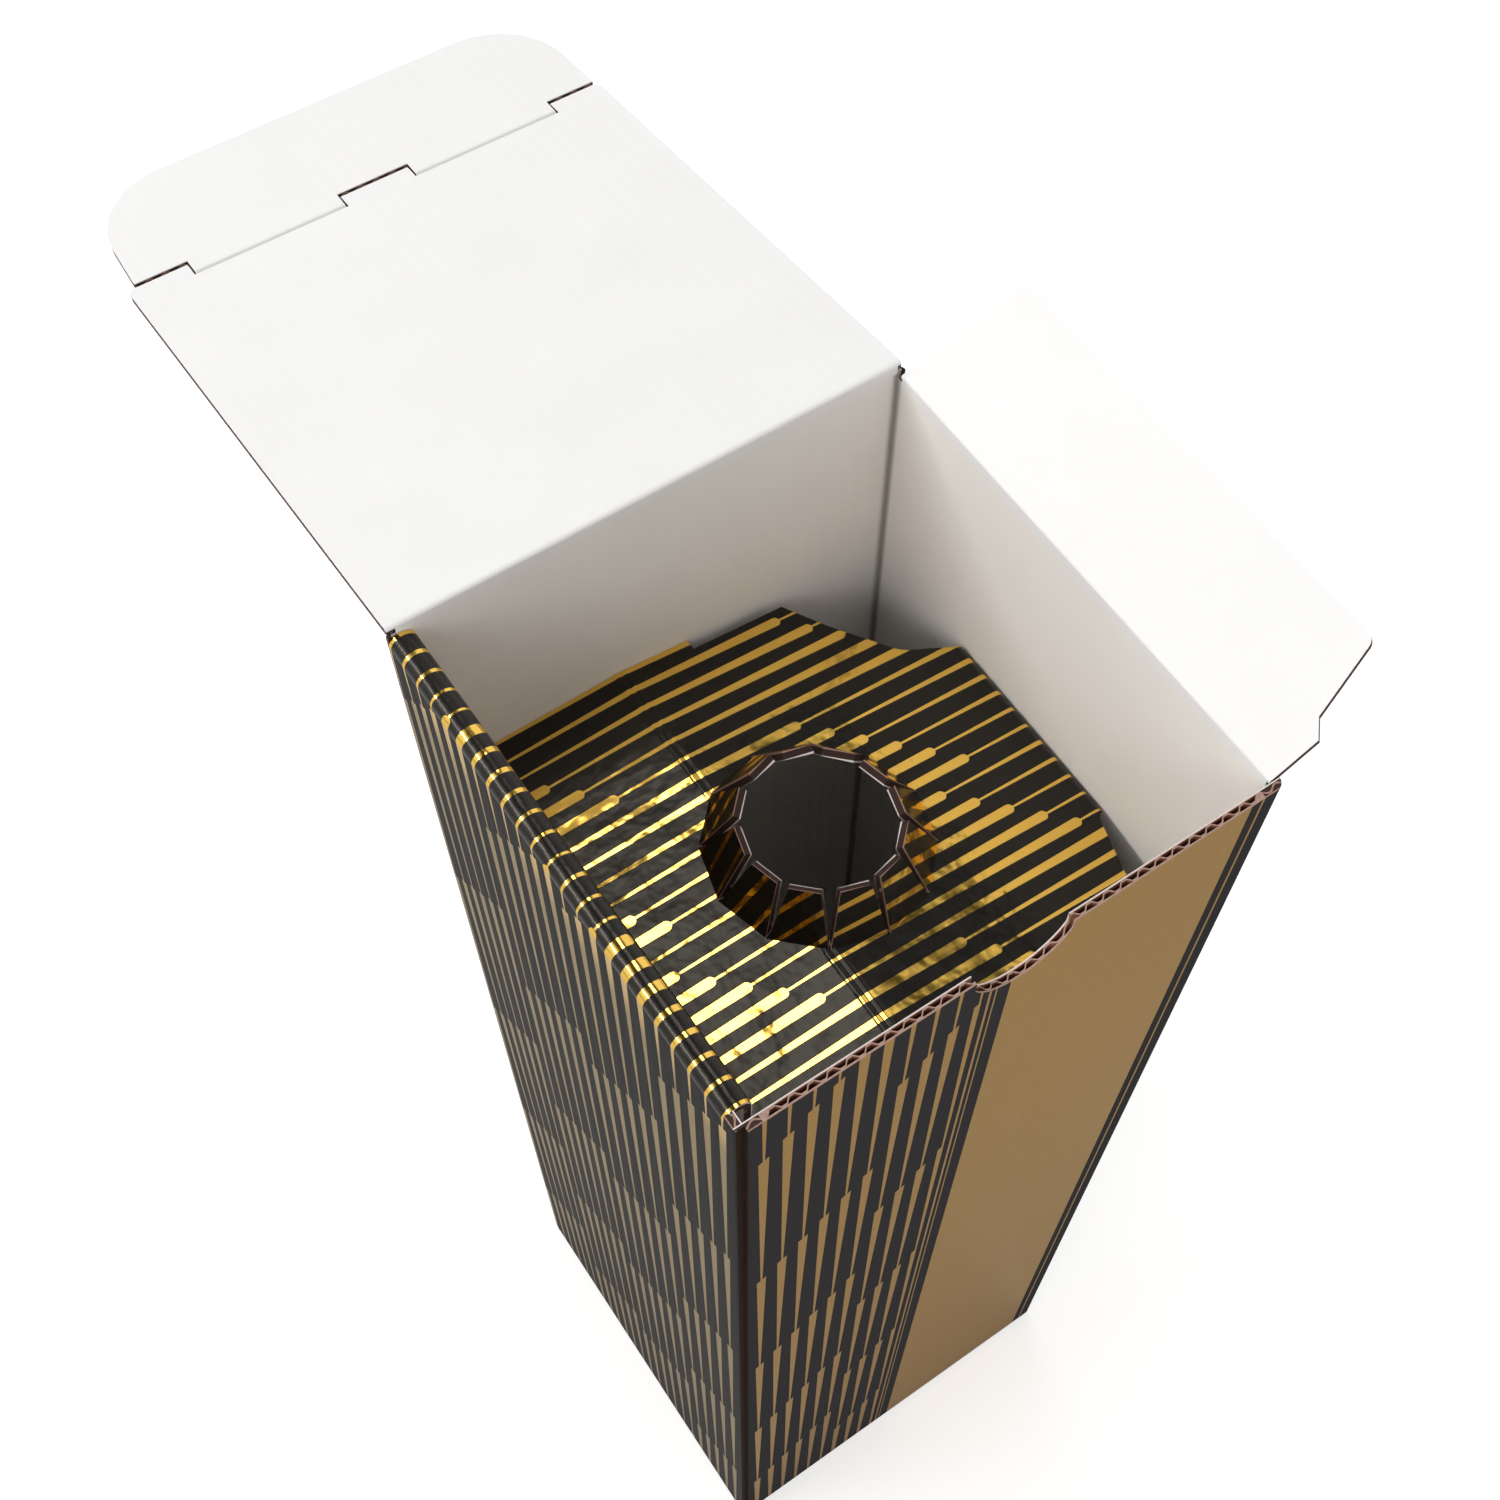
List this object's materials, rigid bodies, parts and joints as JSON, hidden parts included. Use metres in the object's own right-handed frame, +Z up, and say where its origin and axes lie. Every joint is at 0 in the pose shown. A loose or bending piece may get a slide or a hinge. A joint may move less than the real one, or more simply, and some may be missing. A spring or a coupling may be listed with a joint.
{
  "type": "bottle shipping box",
  "caption": "Tall square corrugated carton for one bottle, with an open tuck-in lid, a dust flap and a folded neck support whose star cut grips the bottle's neck.",
  "frame": {"origin": "middle of the base's underside", "axes": "+Z up along the box; the front wall with the thumb notch faces -Y, the lid is hinged on the back wall at +Y, the dust flap on the right wall at +X, the neck support rolls over the left wall at -X"},
  "size_m": [0.1221, 0.2228, 0.3219],
  "materials": {
    "printed_walls": "satin foil-printed outside, matte white inside",
    "foil_printed_flap": "gloss black and gold foil print",
    "white_liner": "matte white liner"
  },
  "bodies": {
    "carton": {"carton_body": "printed_walls", "neck_support": "foil_printed_flap"},
    "lid": {"lid_panel": "white_liner"},
    "tuck": {"tuck_flap": "white_liner"},
    "dust": {"dust_flap": "white_liner"}
  },
  "joints": [
    {"name": "lid_hinge", "type": "hinge", "parent": "carton", "child": "lid", "pos_m": [0, 0.0492, 0.3112], "axis": [1, 0, 0], "range_deg": [-12, 188]},
    {"name": "tuck_hinge", "type": "hinge", "parent": "lid", "child": "tuck", "pos_m": [0, 0.14476, 0.29777], "axis": [1, 0, 0], "range_deg": [-25, 85]},
    {"name": "dust_flap_hinge", "type": "hinge", "parent": "carton", "child": "dust", "pos_m": [0.0492, 0, 0.3092], "axis": [0, -1, 0], "range_deg": [-28, 152]}
  ]
}
